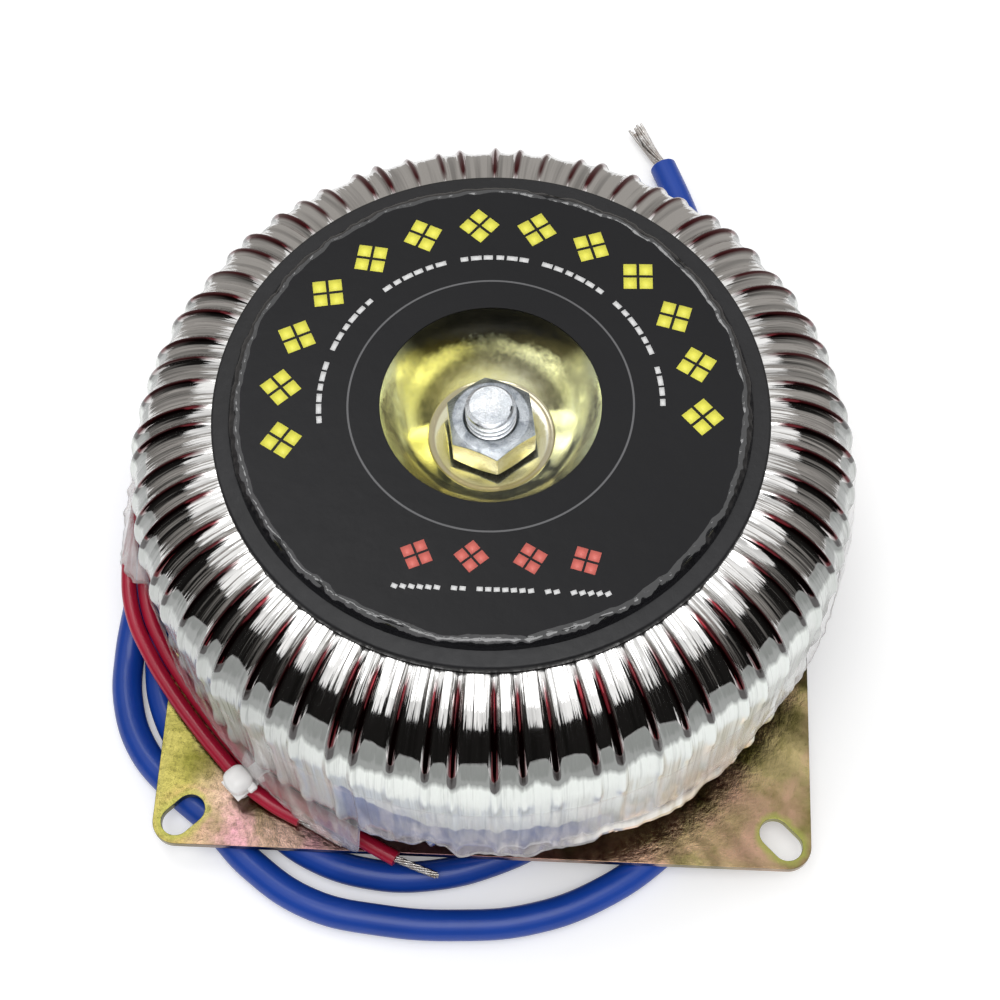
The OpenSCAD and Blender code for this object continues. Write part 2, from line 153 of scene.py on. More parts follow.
class TOROID_PG_clamp(bpy.types.PropertyGroup):
    zinc_colour: colour("Zinc", "Colour of the yellow passivated plating", (0.50, 0.42, 0.25))
    olive_colour: colour("Olive patches", "Greener, darker patches in the plating", (0.12, 0.12, 0.02))
    rose_colour: colour("Rose patches", "Pinkish patches in the plating", (0.60, 0.38, 0.34))
    dish_colour: colour("Dish", "Colour of the clamping plate's plating", (0.99, 0.99, 0.96))
    bright_colour: colour("Bright zinc", "Colour of the bolt and the nut", (0.60, 0.63, 0.66))
    rubber_colour: colour("Rubber", "Colour of the pads", (0.016, 0.016, 0.018))
    label_colour: colour("Label", "Colour of the round label", (0.0095, 0.0095, 0.011))
    mark_colour: colour("Upper marks", "Colour of the ornaments on the upper arc", (0.90, 0.86, 0.10))
    lower_mark_colour: colour("Lower marks", "Colour of the ornaments below the well", (0.72, 0.16, 0.13))
    dash_colour: colour("Dashes", "Colour of the fine dashes", (0.75, 0.75, 0.75))


class TOROID_PG_stage(bpy.types.PropertyGroup):
    floor_colour: colour("Floor", "Colour of the floor", (0.93, 0.93, 0.93))
    key_power: bpy.props.FloatProperty(
        name="Key lamp", description="Power of the lamps overhead", default=5.0, min=0, unit="POWER")
    fill: bpy.props.FloatProperty(
        name="Fill", description="Strength of the light from all round", default=0.7, min=0, max=2)


# ---------------------------------------------------------------- meshes

def link(name, data):
    """A new object in the scene."""
    made = bpy.data.objects.new(name, data)
    bpy.context.scene.collection.objects.link(made)
    return made


def mesh_object(name, bm, material, sharp_angle=35):
    """Makes the mesh an object on the part's body, smooth but for its sharp edges."""
    for face in bm.faces:
        face.smooth = True
    for edge in bm.edges:
        if len(edge.link_faces) == 2 and edge.calc_face_angle(0) > math.radians(sharp_angle):
            edge.smooth = False
    mesh = bpy.data.meshes.new(name)
    bm.to_mesh(mesh)
    bm.free()
    mesh.materials.append(material)
    piece = link(name, mesh)
    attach(piece, BODY)
    return piece


def section(points):
    """A closed outline in the XZ plane: one face, with its corners in order."""
    bm = bmesh.new()
    bm.faces.new([bm.verts.new((x, 0, z)) for x, z in points])
    return bm


def outline(points):
    """An open line in the XZ plane."""
    bm = bmesh.new()
    verts = [bm.verts.new((x, 0, z)) for x, z in points]
    for pair in zip(verts, verts[1:]):
        bm.edges.new(pair)
    return bm


def round_corner(bm, x, z, radius, segments):
    """Rounds one corner of a section."""
    bm.verts.ensure_lookup_table()
    corner = min(bm.verts, key=lambda v: (v.co - Vector((x, 0, z))).length)
    bmesh.ops.bevel(bm, geom=[corner], offset=radius, offset_type="OFFSET", segments=segments,
                    profile=0.5, affect="VERTICES", material=-1)


def round_edges(bm, geom, radius, segments):
    """Rounds edges of a solid."""
    bmesh.ops.bevel(bm, geom=geom, offset=radius, offset_type="OFFSET", segments=segments,
                    profile=0.5, affect="EDGES", material=-1)


def turn(bm, steps, parts=30):
    """Spins an open or closed line right round Z: first one part of the circle, then its copies."""
    arc = 2 * math.pi / parts
    bmesh.ops.spin(bm, geom=bm.verts[:] + bm.edges[:], cent=(0, 0, 0), axis=(0, 0, 1),
                   angle=arc, steps=steps // parts)
    bmesh.ops.spin(bm, geom=bm.verts[:] + bm.edges[:] + bm.faces[:], cent=(0, 0, 0), axis=(0, 0, 1),
                   angle=2 * math.pi - arc, steps=parts - 1, use_duplicate=True)
    bmesh.ops.remove_doubles(bm, verts=bm.verts[:], dist=1e-6)
    return bm


def revolve(bm, steps):
    """Turns a section into a closed ring round Z."""
    bmesh.ops.delete(bm, geom=bm.faces[:], context="FACES_ONLY")
    turn(bm, steps)
    bmesh.ops.recalc_face_normals(bm, faces=bm.faces[:])
    return bm


def close_holes(bm):
    bmesh.ops.holes_fill(bm, edges=[e for e in bm.edges if e.is_boundary])


def cut_above(bm, height):
    """Cuts away what is above a height and closes the cut."""
    bmesh.ops.bisect_plane(bm, geom=bm.verts[:] + bm.edges[:] + bm.faces[:], dist=1e-7,
                           plane_co=(0, 0, height), plane_no=(0, 0, 1), clear_outer=True)
    close_holes(bm)


def merged_copy(node):
    """A copy of a solid's triangles, merged into clean faces."""
    bm = bmesh.new()
    bm.from_mesh(NODES[node].data)
    bmesh.ops.remove_doubles(bm, verts=bm.verts[:], dist=2e-6)
    bmesh.ops.dissolve_limit(bm, angle_limit=math.radians(0.6), verts=bm.verts[:], edges=bm.edges[:])
    return bm


def soften(piece, width, segments=3, angle=35):
    """Rounds the sharp edges of a piece."""
    bevel = piece.modifiers.new("rounded_edges", "BEVEL")
    bevel.width = width
    bevel.segments = segments
    bevel.limit_method = "ANGLE"
    bevel.angle_limit = math.radians(angle)
    bevel.harden_normals = False


def thicken(piece, thickness, offset):
    """Gives a sheet its thickness."""
    wall = piece.modifiers.new("sheet_thickness", "SOLIDIFY")
    wall.thickness = thickness
    wall.offset = offset


def smoothstep(low, high, value):
    t = min(max((value - low) / (high - low), 0), 1)
    return t * t * (3 - 2 * t)


def polar(place):
    """The angle round Z and the distance from Z."""
    return math.atan2(place.y, place.x), math.hypot(place.x, place.y)


def on_circle(way, reach, height):
    return Vector((math.cos(way) * reach, math.sin(way) * reach, height))


def ring_noise(way, fineness, along):
    """Noise that meets itself round the ring."""
    return noise.noise(on_circle(way, fineness, along))


# ---------------------------------------------------------------- nodes

class Value:
    """A number that changes over a surface. Sums and products of such numbers place Math nodes."""

    def __init__(self, tree, socket):
        self.tree = tree
        self.socket = socket

    def maths(self, operation, *others):
        return self.tree.value("ShaderNodeMath", dict(enumerate((self, *others))), operation=operation)

    def __add__(self, other):
        return self.maths("ADD", other)

    def __sub__(self, other):
        return self.maths("SUBTRACT", other)

    def __mul__(self, other):
        return self.maths("MULTIPLY", other)

    def __truediv__(self, other):
        return self.maths("DIVIDE", other)

    def __abs__(self):
        return self.maths("ABSOLUTE")

    def root(self):
        return self.maths("SQRT")

    def at_least(self, other):
        return self.maths("MAXIMUM", other)

    def clamped(self):
        self.socket.node.use_clamp = True
        return self

    def spread(self, low, high, to_low=0.0, to_high=1.0):
        """Maps the number from one range to another, clamped."""
        ranges = {"Value": self, "From Min": low, "From Max": high, "To Min": to_low, "To Max": to_high}
        return self.tree.value("ShaderNodeMapRange", ranges, clamp=True)


class Tree:
    """A node tree, with short ways to place nodes in it."""

    def __init__(self, tree):
        self.tree = tree

    def feed(self, socket, value):
        """Gives a socket a constant or another node's output."""
        value = getattr(value, "socket", value)
        if isinstance(value, bpy.types.NodeSocket):
            self.tree.links.new(value, socket)
        elif socket.type == "RGBA":
            socket.default_value = (*value, 1)
        else:
            socket.default_value = value

    def add(self, kind, inputs=None, **settings):
        """Places a node with its settings and inputs."""
        node = self.tree.nodes.new(kind)
        for key, value in settings.items():
            setattr(node, key, value)
        for key, value in (inputs or {}).items():
            self.feed(node.inputs[key], value)
        return node

    def value(self, kind, inputs, **settings):
        return Value(self, self.add(kind, inputs, **settings).outputs[0])

    def coordinates(self):
        return self.add("ShaderNodeTexCoord").outputs["Object"]

    def place(self):
        """X, Y and Z on the object."""
        parts = self.add("ShaderNodeSeparateXYZ", {0: self.coordinates()})
        return [Value(self, part) for part in parts.outputs]

    def attribute(self, name):
        return Value(self, self.add("ShaderNodeAttribute", attribute_name=name).outputs["Fac"])

    def rays(self, kind):
        return Value(self, self.add("ShaderNodeLightPath").outputs[kind])

    def noise(self, vector, scale, detail=2.0, roughness=0.5, distortion=0.0):
        return self.value("ShaderNodeTexNoise", {"Vector": vector, "Scale": scale, "Detail": detail,
                                                 "Roughness": roughness, "Distortion": distortion})

    def mix(self, factor, first, second, blend="MIX"):
        """A mix of two colours."""
        node = self.add("ShaderNodeMix", data_type="RGBA", blend_type=blend)
        for socket, value in zip((node.inputs[0], node.inputs[6], node.inputs[7]), (factor, first, second)):
            self.feed(socket, value)
        return node.outputs[2]

    def bump(self, height, strength, distance):
        inputs = {"Strength": strength, "Distance": distance, "Height": height}
        return self.add("ShaderNodeBump", inputs).outputs["Normal"]

    def glow(self, colour, strength):
        return self.add("ShaderNodeEmission", {"Color": colour, "Strength": strength}).outputs[0]

    def use(self, group, **values):
        """Places a node group and returns its outputs by name."""
        inputs = {key.replace("_", " "): value for key, value in values.items()}
        node = self.add("ShaderNodeGroup", inputs, node_tree=group.tree)
        return {socket.name: Value(self, socket) for socket in node.outputs}


def new_group(name, inputs, outputs):
    """A node group without nodes. Returns it, its inputs and its output sockets. A colour has no default."""
    group = bpy.data.node_groups.new(name, "ShaderNodeTree")
    for key, default in inputs.items():
        kind = "NodeSocketColor" if default is None else "NodeSocketFloat"
        socket = group.interface.new_socket(key, in_out="INPUT", socket_type=kind)
        if default is not None:
            socket.default_value = default
    for key, kind in outputs.items():
        group.interface.new_socket(key, in_out="OUTPUT", socket_type="NodeSocket" + kind)
    tree = Tree(group)
    given = {socket.name: Value(tree, socket) for socket in tree.add("NodeGroupInput").outputs}
    return tree, given, tree.add("NodeGroupOutput").inputs


@cache
def grain_group():
    """Fine grain: a roughness that varies and a bumped normal."""
    tree, given, out = new_group(
        "fine_grain", {"Scale": 900.0, "Roughness": 0.4, "Spread": 0.1, "Bump": 0.1, "Depth": 0.0001},
        {"Roughness": "Float", "Normal": "Vector", "Mask": "Float"})
    place = tree.coordinates()
    fine = tree.noise(place, given["Scale"], 4.0, 0.6)
    broad = tree.noise(place, given["Scale"] * 0.09, 3.0)
    shift = (fine * 0.5 + broad * 0.5 - 0.5) * (given["Spread"] * 4.0)
    tree.feed(out["Roughness"], (given["Roughness"] + shift).clamped())
    tree.feed(out["Normal"], tree.bump(fine, given["Bump"], given["Depth"]))
    tree.feed(out["Mask"], broad)
    return tree


@cache
def plating_group():
    """Passivated zinc: patches of three colours that run into each other, with fine scratches."""
    tree, given, out = new_group(
        "zinc_plating", {"Base": None, "Dark": None, "Tint": None, "Scale": 60.0, "Dark Amount": 0.5,
                         "Tint Amount": 0.4, "Roughness": 0.25, "Bump": 0.15},
        {"Color": "Color", "Roughness": "Float", "Normal": "Vector"})
    place = tree.coordinates()
    moved = tree.add("ShaderNodeVectorMath", {0: place, 1: (0.37, 0.11, 0.05)}, operation="ADD").outputs[0]
    patches = tree.noise(place, given["Scale"], 6.0, 0.62, 0.4)
    tints = tree.noise(moved, given["Scale"] * 0.7, 5.0, 0.6, 0.6)
    specks = tree.noise(place, given["Scale"] * 14.0, 4.0, 0.7)
    patched = tree.mix(patches.spread(0.44, 0.62) * given["Dark Amount"], given["Base"], given["Dark"])
    tinted = tree.mix(tints.spread(0.44, 0.58) * given["Tint Amount"], patched, given["Tint"])
    tree.feed(out["Color"], tree.mix(specks.spread(0.52, 0.72) * 0.35, tinted, given["Dark"]))
    tree.feed(out["Roughness"], ((specks - 0.5) * 0.5 + given["Roughness"]).clamped())
    tree.feed(out["Normal"], tree.bump(patches * 0.6 + specks * 0.3, given["Bump"], 0.0006))
    return tree


@cache
def round_wrap_group():
    """Streaks that run over a ring's section and repeat round it, as wrinkles or wire do."""
    tree, given, out = new_group("round_streaks", {"Count": 60.0, "Along": 25.0, "Detail": 4.0},
                                 {"Streak": "Float", "Fine": "Float"})
    x, y, z = tree.place()
    reach = (x * x + y * y).root().at_least(0.001)
    ring = tree.add("ShaderNodeCombineXYZ", {0: x / reach * given["Count"], 1: y / reach * given["Count"],
                                             2: (z - reach) * given["Along"]}).outputs[0]
    tree.feed(out["Streak"], tree.noise(ring, 1.0, given["Detail"], 0.55))
    tree.feed(out["Fine"], tree.noise(ring, 3.1, 3.0, 0.6))
    return tree


# ---------------------------------------------------------------- materials

class Finish(Tree):
    """A new material."""

    def __init__(self, name):
        self.made = bpy.data.materials.new(name)
        self.made.use_nodes = True
        super().__init__(self.made.node_tree)
        self.shader = self.tree.nodes["Principled BSDF"]

    def wear(self, sockets):
        """Sets sockets of the shader and returns the material."""
        for key, value in sockets.items():
            self.feed(self.shader.inputs[key], value)
        return self.made

    def show(self, surface):
        """Shows a shader other than the material's own."""
        self.feed(self.tree.nodes["Material Output"].inputs["Surface"], surface)
        return self.made


def grained(name, base, roughness, scale, vary, bump, depth,
            specular=0.5, coat=0.0, coat_roughness=0.1, shade=0.12):
    """Rubber, plastic or print: one colour that varies a little, with fine grain."""
    finish = Finish(name)
    grain = finish.use(grain_group(), Scale=scale, Roughness=roughness, Spread=vary, Bump=bump, Depth=depth)
    darker = [c * (1 - shade * 2) for c in base]
    return finish.wear({
        "Base Color": finish.mix(grain["Mask"].spread(0.35, 0.65), darker, base),
        "Roughness": grain["Roughness"], "Normal": grain["Normal"], "Specular IOR Level": specular,
        "Coat Weight": coat, "Coat Roughness": coat_roughness})


def zinc_finish(name, colours, scale, amounts, roughness, bump, metallic=1.0):
    """Zinc plating's roughness and bump. Returns the finish with the plating's colour, still to be used."""
    finish = Finish(name)
    base, dark, tint = colours
    plating = finish.use(plating_group(), Base=base, Dark=dark, Tint=tint, Scale=scale, Dark_Amount=amounts[0],
                         Tint_Amount=amounts[1], Roughness=roughness, Bump=bump)
    finish.wear({"Roughness": plating["Roughness"], "Normal": plating["Normal"], "Metallic": metallic})
    return finish, plating["Color"]


def plated(*settings):
    """Zinc-plated steel in its own colours."""
    finish, plating = zinc_finish(*settings)
    return finish.wear({"Base Color": plating})


def wound(name, base, groove, count, along, metallic, roughness, bump, depth):
    """Wire, strip or tape wound round the ring: streaks across it in two colours."""
    finish = Finish(name)
    streaks = finish.use(round_wrap_group(), Count=count, Along=along, Detail=3.0)
    return finish.wear({
        "Base Color": finish.mix(streaks["Streak"].spread(0.38, 0.6), groove, base),
        "Roughness": streaks["Fine"].spread(0.3, 0.7, roughness * 0.7, roughness * 1.3),
        "Normal": finish.bump(streaks["Streak"], bump, depth), "Metallic": metallic})


def dish_material(base):
    """Bright passivation in the well: yellow at the left, a painted pale reflection at the right, painted shade
    on the seat and in the crease round it, and painted shade high on the wall, near black high at the rear.
    """
    colours = (base, (0.86, 0.84, 0.70), (1.0, 1.0, 0.98))
    finish, plating = zinc_finish("dish_plating", colours, 46.0, (0.4, 0.8), 0.15, 0.08, 0.94)
    x, y, z = finish.place()
    high = z + (finish.noise(finish.coordinates(), 220.0, 4.0, 0.7) - 0.5) * 0.006
    reach = (x * x + y * y).root()
    # Yellow at the left is the plating's colour; the paler right side is a painted reflection
    yellow_and_painted_reflection = finish.mix(x.spread(-0.011, 0.004), (1.0, 1.0, 0.6), (0.96, 1.0, 0.95))
    body = finish.mix(1.0, plating, yellow_and_painted_reflection, "MULTIPLY")
    # Painted shade: the seat round the nut is darker, with a darker ring of painted shade in the crease at its
    # edge
    seat = finish.mix(reach.spread(0.0098, 0.0093, 0.0, 0.7), body, (0.56, 0.53, 0.42))
    painted_crease_shade = abs(reach - 0.0095).spread(0.0007, 0.0004, 0.0, 0.85)
    seat_with_painted_shade = finish.mix(painted_crease_shade, seat, (0.34, 0.29, 0.18))
    # Painted shade high on the wall of the well: dark olive in front, near black at the rear
    front = high.spread(0.050, 0.0575) * y.spread(-0.002, -0.012, 0.0, 0.75)
    rear = high.spread(0.0545, 0.0580) * y.spread(0.002, 0.011, 0.0, 0.97)
    well_with_painted_shade = finish.mix(front, seat_with_painted_shade, (0.26, 0.24, 0.15))
    return finish.wear({"Base Color": finish.mix(rear, well_with_painted_shade, (0.018, 0.013, 0.006))})


def plate_material(base, olive, rose):
    """Dull passivation on the base plate: rosy at the left, streaked at the right with painted highlights and
    painted shade, greenish round the slots.
    """
    finish, plating = zinc_finish("plate_plating", (base, olive, rose), 62.0, (0.9, 0.85), 0.15, 0.4)
    x, y, _ = finish.place()
    # At the right, streaks of painted highlight and painted shade; at the far left a pinkish tint of the
    # plating
    streak = finish.use(round_wrap_group(), Count=9.0, Along=6.0, Detail=1.5)["Streak"].spread(0.42, 0.6)
    right = x.spread(-0.005, 0.02)
    corner = finish.mix(x.spread(-0.043, -0.050), (0.58, 0.46, 0.62), (0.40, 0.42, 0.20))
    tint_and_painted_streaks = finish.mix(right, corner, finish.mix(streak, (0.22, 0.21, 0.14), (1.0, 0.96, 0.78)))
    body = finish.mix(1.0, plating, tint_and_painted_streaks, "MULTIPLY")
    # Each slot lies along a diagonal of the plate, so its distance is measured along and across that
    along = (abs(x) + abs(y)) * 0.7071
    across = (abs(x) - abs(y)) * 0.7071
    beyond = (abs(along - 0.0707) - 0.0015).at_least(0.0)
    away = (beyond * beyond + across * across).root()
    halo = (finish.noise(finish.coordinates(), 500.0) * 0.0016 + away).spread(0.0046, 0.0036, 0.0, 0.7)
    green = finish.mix(right, (0.17, 0.17, 0.04), (0.34, 0.38, 0.08))
    return finish.wear({"Base Color": finish.mix(halo, body, green)})


def film_material(film, wire, paper):
    """Stretched film: bright above, dark over the wire, then clear over the paper band, in fine streaks, with
    painted shade and painted reflections on the band and painted shade below it.
    """
    finish = Finish("stretched_film")
    x, y, z = finish.place()
    streaks = finish.use(round_wrap_group(), Count=36.0, Along=14.0, Detail=2.5)
    streak, fine, crown = streaks["Streak"], streaks["Fine"], finish.attribute("crown")
    level = z + (streak - 0.5) * 0.004
    valley = finish.mix(streak.spread(0.36, 0.54), [0.6 * c for c in film], film)
    bright = finish.mix(crown.spread(0.28, 0.66), valley, wire)
    # The film is clear below an edge that hangs lower over each turn, and ends there in a dark hook, a painted
    # dark reflection
    swing = (finish.noise(finish.coordinates(), 95.0, 1.0) - 0.5) * 0.005
    edge = crown.spread(0.12, 0.5) * 0.0016 + z + swing
    clear = edge.spread(0.0522, 0.0517)
    painted_dark_hook = edge.spread(0.0498, 0.0502) * crown.spread(0.3, 0.45) * 0.92
    # The paper band under it has painted shade, grey at its top and darker at the sides, and a painted blue
    # reflection of the leads low in front
    band = finish.mix(level.spread(0.0472, 0.0484), paper, [0.33 * c for c in paper])
    painted_side_shade = (x.spread(-0.018, -0.034) * y.spread(0.0, -0.02)).at_least(x.spread(0.048, 0.057))
    shaded = finish.mix(painted_side_shade * 0.55 + fine.spread(0.56, 0.64) * 0.25, band, (0.30, 0.31, 0.30))
    # Painted blue reflection of the blue leads, low on the band in front
    below = (level - x.spread(-0.020, -0.007, 0.037, 0.0305)).spread(0.0004, -0.0004)
    blue = below * (x.spread(0.022, 0.014) * x.spread(-0.0225, -0.0205)) * y.spread(-0.02, -0.03, 0.0, 0.8)
    tinted = finish.mix(blue, shaded, (0.20, 0.25, 0.46))
    with_painted_hooks = finish.mix(painted_dark_hook * clear, finish.mix(clear, bright, tinted), (0.02, 0.012, 0.012))
    # Near black low down is painted shade under the loose hem
    return finish.wear({
        "Base Color": finish.mix(level.spread(0.024, 0.0185), with_painted_hooks, (0.05, 0.022, 0.02)),
        "Metallic": clear.spread(0.0, 1.0, 1.0, 0.05), "Roughness": fine.spread(0.3, 0.7, 0.04, 0.14),
        "Normal": finish.bump(fine * 0.12 + streak, 0.55, 0.0013), "Coat Weight": 0.3, "Coat Roughness": 0.04})


def loose_film_material(film):
    """Loose clear film: thin, see-through, whiter along its folds and milky at the right of the front."""
    finish = Finish("loose_film")
    x, y, _ = finish.place()
    streaks = finish.use(round_wrap_group(), Count=30.0, Along=60.0, Detail=4.0)
    fold, edge = streaks["Streak"].spread(0.42, 0.66), finish.attribute("hem")
    across = x.spread(0.012, 0.020) * x.spread(0.042, 0.034)
    milky = across * y.spread(-0.02, -0.03) * edge.spread(0.72, 0.84)
    clear = finish.mix(fold, [0.8 * c for c in film], film)
    rim = edge.spread(0.955, 0.985) * 0.45
    whole = fold.spread(0.0, 1.0, 0.06, 0.26) + edge.spread(0.35, 0.9, 0.0, 0.3) + rim
    return finish.wear({
        "Base Color": finish.mix(milky, clear, (0.97, 0.93, 0.84)), "Alpha": (milky * 0.55 + whole).clamped(),
        "Roughness": streaks["Fine"].spread(0.3, 0.7, 0.06, 0.2),
        "Normal": finish.bump(streaks["Streak"], 0.3, 0.0008), "Specular IOR Level": 0.8,
        "Coat Weight": 0.6, "Coat Roughness": 0.05})


# ---------------------------------------------------------------- shapes of the ring and of the leads

def turn_angle(k, turns):
    """Angle of a turn, in degrees. Hand winding leaves the turns a little uneven."""
    return (k + 0.14 * math.sin(math.radians(137 * k))) * 360 / turns


def turn_rise(k):
    """Share of the full ridge height that one turn has."""
    return 0.86 + 0.14 * math.sin(math.radians(83 * k + 40))


# The loose film's lower edge: angle in degrees, height and radius in millimetres
HEM = [
    (0, 21, 59.5), (15, 19.5, 59.3), (60, 19.5, 59.1), (120, 19.5, 59.1), (145, 22, 59.3),
    (157, 21.6, 61.6), (166, 19, 63.4), (172, 16.8, 64.8), (178, 14.6, 65.3), (184, 13.6, 65.3),
    (188, 13.6, 65.1), (190.5, 15.5, 63), (193, 18.5, 60), (198, 19, 59.1), (203, 18.3, 58.9),
    (208, 17, 58.9), (215, 15.5, 58.6), (221, 14.5, 58.6), (227, 13.7, 58.8), (233, 13, 59.1),
    (240, 11.8, 59.5), (245, 10.2, 59.6), (249, 9, 59.4), (250.3, 9.4, 59.4), (252, 23.6, 59.3),
    (256, 22.2, 59.1), (260, 23.3, 59.3), (262.5, 26, 59.1), (265, 24.6, 59.1), (267.5, 20.6, 59.3),
    (270.6, 22.4, 59.1), (274, 22, 59.2), (278, 20.2, 59.3), (281, 22.4, 59.1), (285, 22.3, 59.2),
    (288, 21.7, 59.3), (289.5, 24.5, 59.1), (295, 23, 59.4), (300, 22.5, 59.5), (304, 23, 59.5),
    (308, 25.5, 59.2), (311, 25, 59.2), (315, 29, 59.2), (318.5, 30, 59.1), (323, 32, 59.1),
    (328, 30.5, 59.1), (332, 30, 59), (337, 27, 59), (344, 24, 59.1), (352, 21, 59.3),
    (360, 21, 59.5)]


def hem(angle):
    """Height and radius of the loose film's lower edge, at an angle round the ring in degrees."""
    for (first, low, near), (last, high, far) in zip(HEM, HEM[1:]):
        if angle <= last:
            share = smoothstep(first, last, angle)
            return MM * (low + (high - low) * share), MM * (near + (far - near) * share)


def tube(name, diameter, segments, steps):
    """A curve with a round section, still without its line."""
    curve = bpy.data.curves.new(name, "CURVE")
    curve.dimensions = "3D"
    curve.bevel_depth = diameter / 2
    curve.bevel_resolution = segments
    curve.resolution_u = steps
    curve.use_fill_caps = True
    return curve


def add_line(curve, places):
    """Adds one smooth line through the places."""
    spline = curve.splines.new("BEZIER")
    spline.bezier_points.add(len(places) - 1)
    for point, place in zip(spline.bezier_points, places):
        point.co = place
        point.handle_left_type = point.handle_right_type = "AUTO"


def lead_curve(name, route, diameter, surface, node):
    """A lead as one smooth curve through its route."""
    curve = tube(name, diameter, 8, 10)
    add_line(curve, route)
    curve.materials.append(surface)
    piece = link(name, curve)
    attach(piece, BODY)
    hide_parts(node)
    return piece


def between(route, share):
    """A point and the direction at a share of the way along a route."""
    steps = [(Vector(b) - Vector(a)).length for a, b in zip(route, route[1:])]
    left = share * sum(steps)
    for (a, b), step in zip(zip(route, route[1:]), steps):
        if left <= step or (a, b) == (route[-2], route[-1]):
            way = Vector(b) - Vector(a)
            return Vector(a) + way * (left / step), way.normalized()
        left -= step


def strand_bundle(name, route, strands, diameter, surface, node, lay_radius, twist, flatten=1.0, part=0.0):
    """Tinned strands at a lead's end, twisted a little. part opens them into two groups towards the tip."""
    curve = tube(name, diameter, 3, 3)
    steps = 6
    for k in range(strands):
        around = 2 * math.pi * k / max(strands - 1, 1)
        reach = 0 if k == strands - 1 and strands > 4 else lay_radius
        group = 1 if math.cos(around) >= 0 else -1
        places = []
        for i in range(steps + 1):
            share = i / steps * (1 - 0.05 * ((k * 7) % 3))
            centre, along = between(route, share)
            across = along.cross(Vector((0, 0, 1))).normalized()
            up = across.cross(along)
            angle = around + twist * share
            wide = reach * math.cos(angle) + group * part * share * share
            places.append(centre + across * wide + up * (reach * math.sin(angle) * flatten))
        add_line(curve, places)
    holder = link(name + "_curve", curve)
    mesh = bpy.data.meshes.new_from_object(holder.evaluated_get(bpy.context.evaluated_depsgraph_get()))
    bpy.data.objects.remove(holder)
    mesh.name = name
    mesh.materials.clear()
    mesh.materials.append(surface)
    for polygon in mesh.polygons:
        polygon.use_smooth = True
    piece = link(name, mesh)
    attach(piece, BODY)
    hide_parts(node)
    return piece


# ---------------------------------------------------------------- operators

class TOROID_OT_camera(bpy.types.Operator):
    """Places the camera in front of and above the transformer"""
    bl_idname = "toroid.camera"
    bl_label = "Camera"

    def execute(self, context):
        data = bpy.data.cameras.new("camera")
        data.sensor_width = 36
        data.lens = 71.02
        data.clip_start = 0.01
        camera = link("camera", data)
        right = (0.99890, 0.04592, -0.00921)
        up = (-0.03704, 0.89493, 0.44466)
        back = (0.02866, -0.44384, 0.89565)
        turned = Matrix((right, up, back)).transposed().to_4x4()
        camera.matrix_world = Matrix.Translation((0.010627, -0.147145, 0.326071)) @ turned
        context.scene.camera = camera
        return {"FINISHED"}


